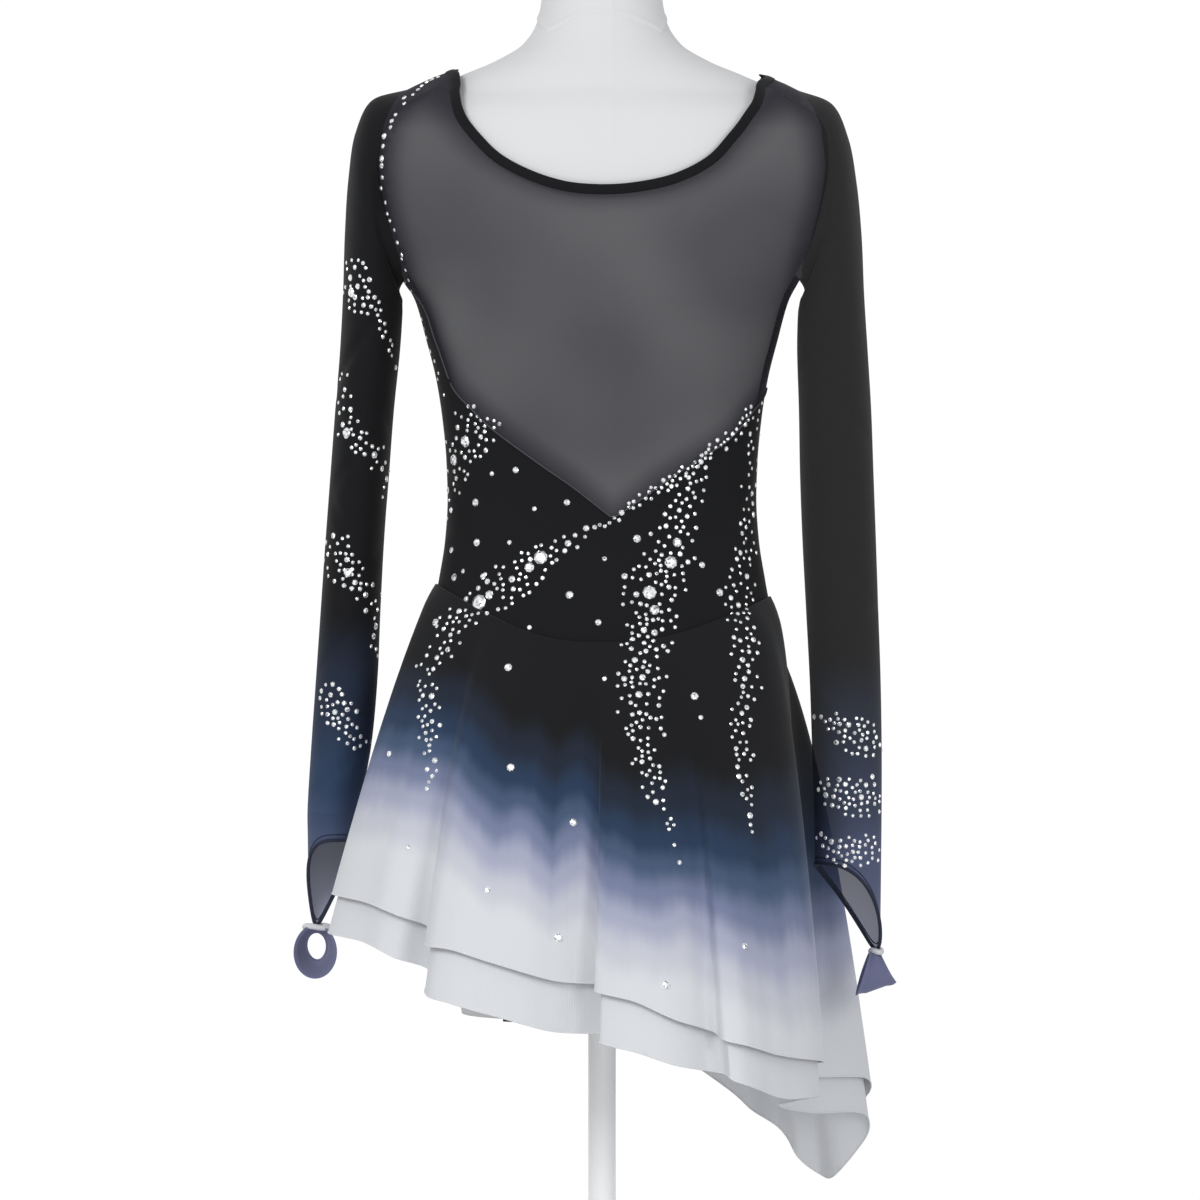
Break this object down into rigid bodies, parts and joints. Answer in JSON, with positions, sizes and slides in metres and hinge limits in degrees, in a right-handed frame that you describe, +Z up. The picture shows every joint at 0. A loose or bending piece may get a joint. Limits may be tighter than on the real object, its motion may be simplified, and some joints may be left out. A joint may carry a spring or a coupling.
{
  "type": "figure skating dress on a limbless dress form",
  "caption": "Long-sleeved skating dress with a sheer scooped back, rhinestones and a two-layer slanted ombre skirt, on a limbless dress form.",
  "frame": {"origin": "centre of the stand base's underside, on the floor", "axes": "+Z up; the back of the dress faces -Y; +X is the wearer's right"},
  "size_m": [0.4821, 0.3633, 1.086],
  "materials": {
    "form_cover": "matt jersey cover",
    "stand": "satin",
    "black_mesh": "sheer power mesh",
    "black_stretch": "matt stretch jersey",
    "sleeve_stretch": "matt stretch, dyed to navy at the cuff",
    "sleeve_mesh": "sheer mesh, dyed to lavender at the cuff",
    "ombre_skirt": "soft mesh dyed black to pale lavender",
    "rhinestone": "faceted, foil backed"
  },
  "bodies": {
    "root": {"form_torso": "form_cover", "form_pole": "stand", "form_base": "stand", "back_mesh": "black_mesh", "back_bodice": "black_stretch", "front_bodice": "black_stretch", "front_yoke": "black_mesh", "neck_binding": "black_stretch", "sleeve_left": "sleeve_stretch", "sleeve_right": "sleeve_mesh", "hand_cover_left": "sleeve_stretch", "hand_cover_right": "sleeve_mesh", "finger_loop_left": "sleeve_stretch", "finger_loop_right": "sleeve_mesh", "skirt_upper": "ombre_skirt", "skirt_under": "ombre_skirt", "brief": "black_stretch", "brief_gusset": "black_stretch"}
  },
  "joints": []
}
